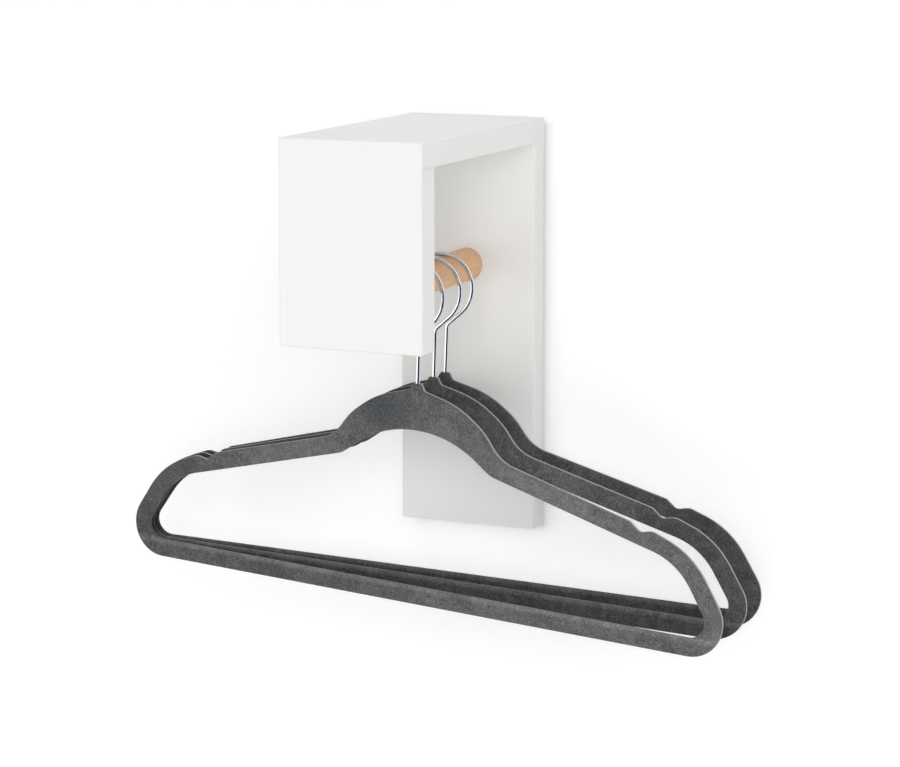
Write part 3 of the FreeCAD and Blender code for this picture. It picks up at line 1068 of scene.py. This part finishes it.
# What gloss sees round the hooks: degrees to the right of straight ahead, degrees up, colour
CARDS = (
    ("dim_room", (-12, 84), (-30, 14), (0.010, 0.012, 0.020)),
    ("dim_ground", (-75, 84), (-89, -31), (0.012, 0.014, 0.020)),
    ("grey_ceiling", (-80, 70), (15, 82), (0.072, 0.085, 0.106)),
)
# How far the cards lie from the hooks, where the hooks are, and the points along a card's side
CARD_RADIUS, CARD_CENTRE, CARD_POINTS = 0.66, (0, -0.09, 0), 24


def build_cards():
    """Patches of a sphere round the hooks that only gloss sees, each in one plain tone.

    A point of one lies a radius from the hooks, at an angle to the right and an angle up.
    """
    for name, rightwards, upwards, tone in CARDS:
        around, up = np.meshgrid(np.radians(np.linspace(*rightwards, CARD_POINTS)),
                                 np.radians(np.linspace(*upwards, CARD_POINTS)))
        ways = np.stack((np.cos(up) * np.sin(around), -np.cos(up) * np.cos(around),
                         np.sin(up)), axis=-1)
        corners = CARD_RADIUS * ways.reshape(-1, 3) + np.array(CARD_CENTRE)
        row = np.arange(CARD_POINTS - 1)[:, None] * CARD_POINTS + np.arange(CARD_POINTS - 1)
        above = row + CARD_POINTS
        faces = np.stack((row, row + 1, above + 1, above), axis=-1).reshape(-1, 4)
        glow = Paint(name, Base_Color=(0, 0, 0, 1), Specular_IOR_Level=0.0,
                     Emission_Color=(*tone, 1), Emission_Strength=1.0)
        card = stage_sheet(name, corners.tolist(), faces.tolist(), glow.material)
        for rays in ("camera", "diffuse", "shadow", "transmission"):
            setattr(card, "visible_" + rays, False)


def place_lamps(studio):
    """Soft lamps: over and under the camera, at the left, the right and above, and behind."""
    lamps = (
        ("front_lamp", studio.front_power, 2.2, (1.5, -3.0, 1.0)),
        ("low_lamp", studio.low_power, 2.0, (0.4, -3.2, -0.2)),
        ("left_lamp", studio.left_power, 1.8, (-1.8, -2.4, -0.2)),
        ("right_lamp", studio.right_power, 1.8, (2.7, -1.6, 0.5)),
        ("top_lamp", studio.top_power, 1.6, (-0.4, -1.0, 2.6)),
        ("rear_lamp", studio.rear_power, 1.8, (0.8, 2.6, 1.2)),
    )
    for name, power, size, place in lamps:
        lamp = bpy.data.lights.new(name, "AREA")
        lamp.energy = power
        lamp.size = size
        holder = bpy.data.objects.new(name, lamp)
        away = -np.array(place)
        level = math.hypot(away[0], away[1])
        holder.location = place
        holder.rotation_euler = (math.atan2(level, -away[2]), 0, math.atan2(-away[0], away[1]))
        bpy.context.scene.collection.objects.link(holder)


def light_room(studio):
    """An even room light; the camera, gloss and glass see a white room."""
    world = bpy.data.worlds.new("studio_room")
    bpy.context.scene.world = world
    world.use_nodes = True
    room = Nodes(world.node_tree)
    light = room.tree.nodes["Background"]
    room.feed(light.inputs["Color"], (1, 1, 1))
    room.feed(light.inputs["Strength"], studio.room + room.seen() * (1 - studio.room))


def place_camera(studio):
    """The camera as it stood for the photograph."""
    lens = bpy.data.cameras.new("photo_camera")
    lens.lens = studio.lens
    lens.sensor_width = 36
    lens.sensor_fit = "HORIZONTAL"
    lens.shift_y = studio.shift
    lens.clip_start = 0.05
    camera = bpy.data.objects.new("photo_camera", lens)
    camera.location = studio.place
    camera.rotation_euler = (math.pi / 2 - studio.pitch, 0, studio.heading)
    bpy.context.scene.collection.objects.link(camera)
    bpy.context.scene.camera = camera


# Panel and run


OPERATORS = (
    COATRACK_OT_boards, COATRACK_OT_rod, COATRACK_OT_screws,
    COATRACK_OT_hanger_frames, COATRACK_OT_hooks, COATRACK_OT_stage,
)


class COATRACK_PT_pieces(bpy.types.Panel):
    """Lists the operators, the sizes and the colours"""
    bl_label = "Coat rack"
    bl_idname = "COATRACK_PT_pieces"
    bl_space_type = "VIEW_3D"
    bl_region_type = "UI"
    bl_category = "Coat rack"

    def draw(self, context):
        for operator in OPERATORS:
            self.layout.operator(operator.bl_idname)
        for name in GROUPS:
            box = self.layout.box()
            group = getattr(context.scene, name)
            # The first two are Blender's own type and name
            for key in group.bl_rna.properties.keys()[2:]:
                box.prop(group, key)


def register():
    for name, group in GROUPS.items():
        bpy.utils.register_class(group)
        setattr(bpy.types.Scene, name, bpy.props.PointerProperty(type=group))
    for each in (*OPERATORS, COATRACK_PT_pieces):
        bpy.utils.register_class(each)


def unregister():
    for each in (COATRACK_PT_pieces, *reversed(OPERATORS)):
        bpy.utils.unregister_class(each)
    for name, group in reversed(GROUPS.items()):
        delattr(bpy.types.Scene, name)
        bpy.utils.unregister_class(group)


def main():
    """Makes every piece and the stage."""
    register()
    for operator in OPERATORS:
        group, name = operator.bl_idname.split(".")
        getattr(getattr(bpy.ops, group), name)()


if __name__ == "__main__":
    main()
